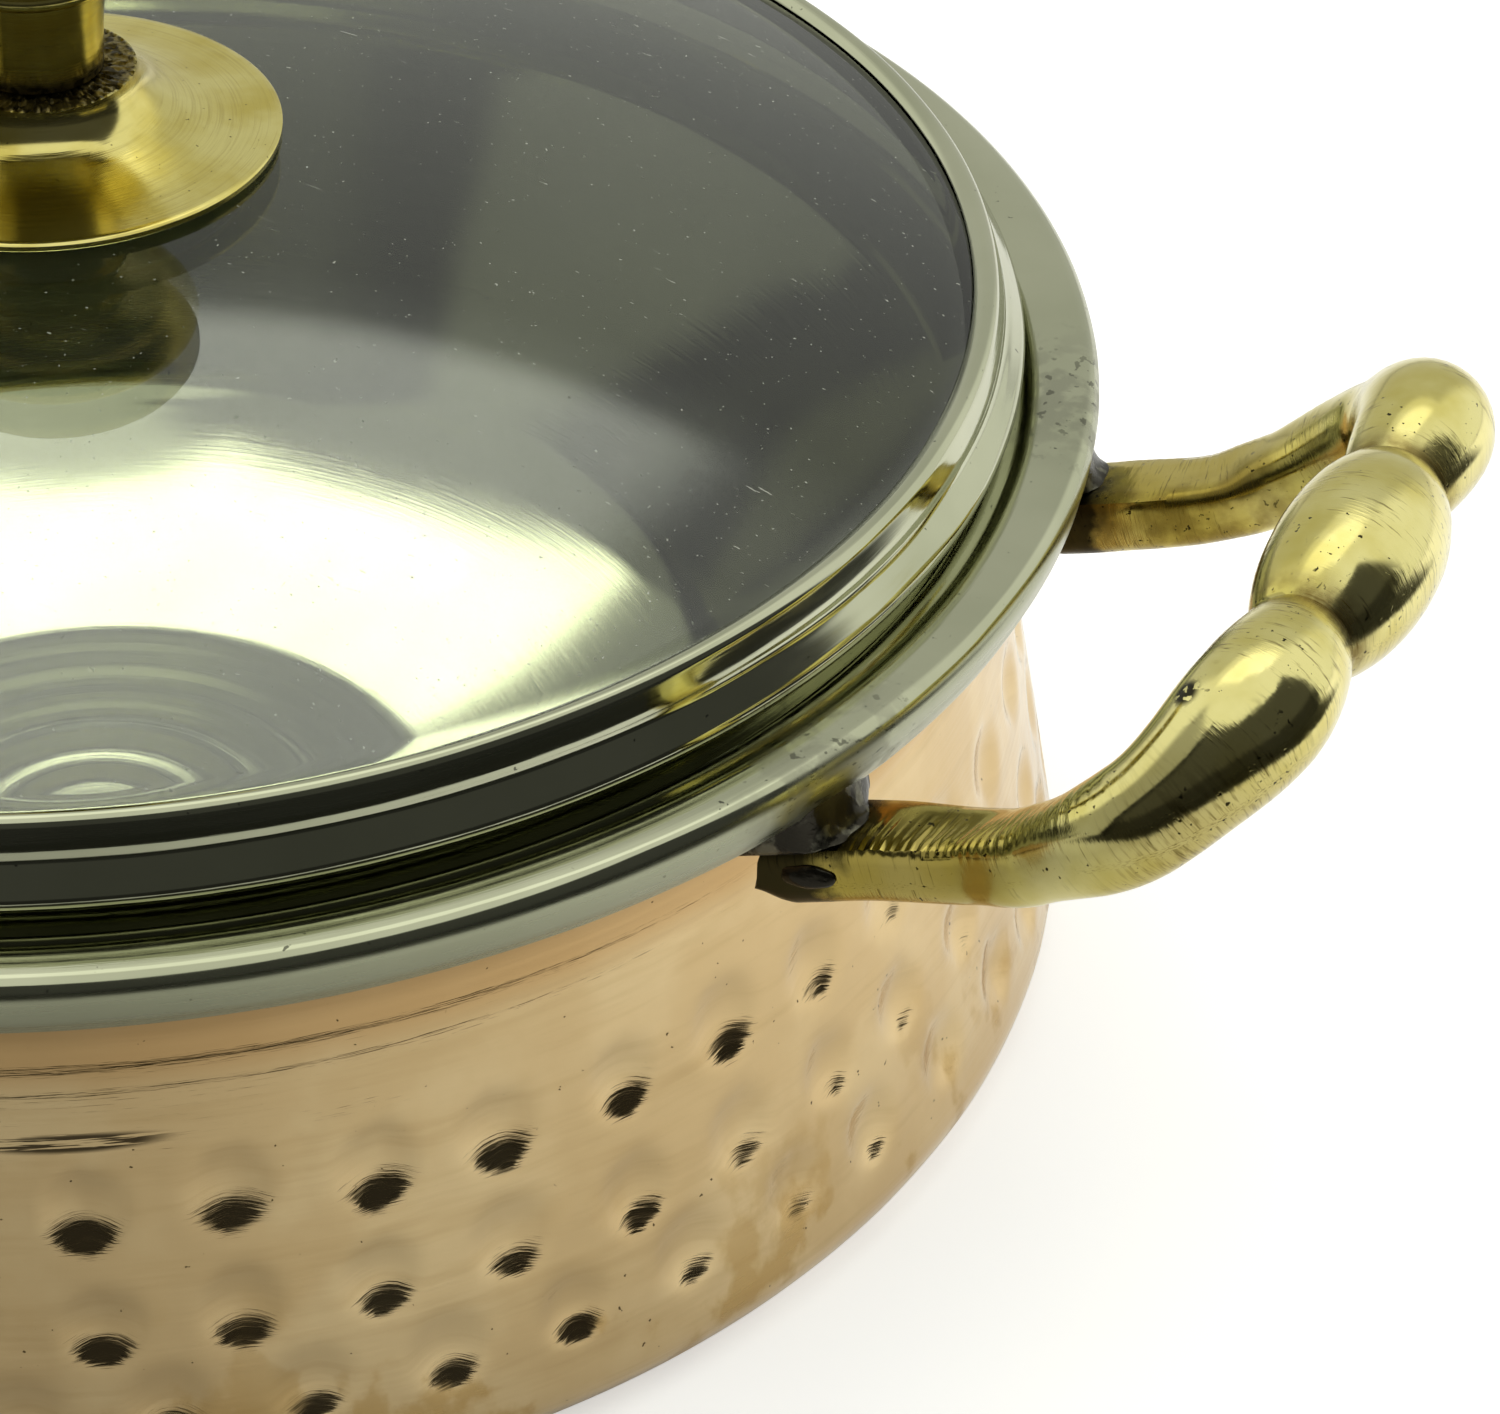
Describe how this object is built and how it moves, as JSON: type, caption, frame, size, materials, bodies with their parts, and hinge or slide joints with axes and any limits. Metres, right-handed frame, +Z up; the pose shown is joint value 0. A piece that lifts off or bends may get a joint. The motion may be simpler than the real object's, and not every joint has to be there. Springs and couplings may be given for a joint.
{
  "type": "handi pot",
  "caption": "Round serving pot with a hammered copper belly over a rimmed steel bowl, beaded brass side handles, and a domed glass lid with a steel band and a turned brass knob.",
  "frame": {"origin": "middle of the underside of the base", "axes": "+X towards the right handle, +Y away from the front, +Z up along the pot's axis"},
  "size_m": [0.2464, 0.18, 0.1139],
  "materials": {
    "copper": "hammered copper, polished, lightly tarnished",
    "steel": "polished stainless steel with fine scratches",
    "brass": "cast brass, filed and polished, brown tarnish in the hollows",
    "solder": "dull dark solder",
    "glass": "clear tempered glass, faintly green",
    "pad": "thin pale pad",
    "rubber": "dark rubber"
  },
  "bodies": {
    "root": {"copper_shell": "copper", "steel_bowl": "steel", "handle_right": "brass", "handle_left": "brass", "solder_right_front": "solder", "solder_right_back": "solder", "solder_left_front": "solder", "solder_left_back": "solder", "lid_band": "steel", "lid_glass": "glass", "knob_foot": "brass", "knob_head": "brass", "knob_pad": "pad", "knob_screw": "steel", "screw_washer": "steel", "glass_washer": "rubber"}
  },
  "joints": []
}
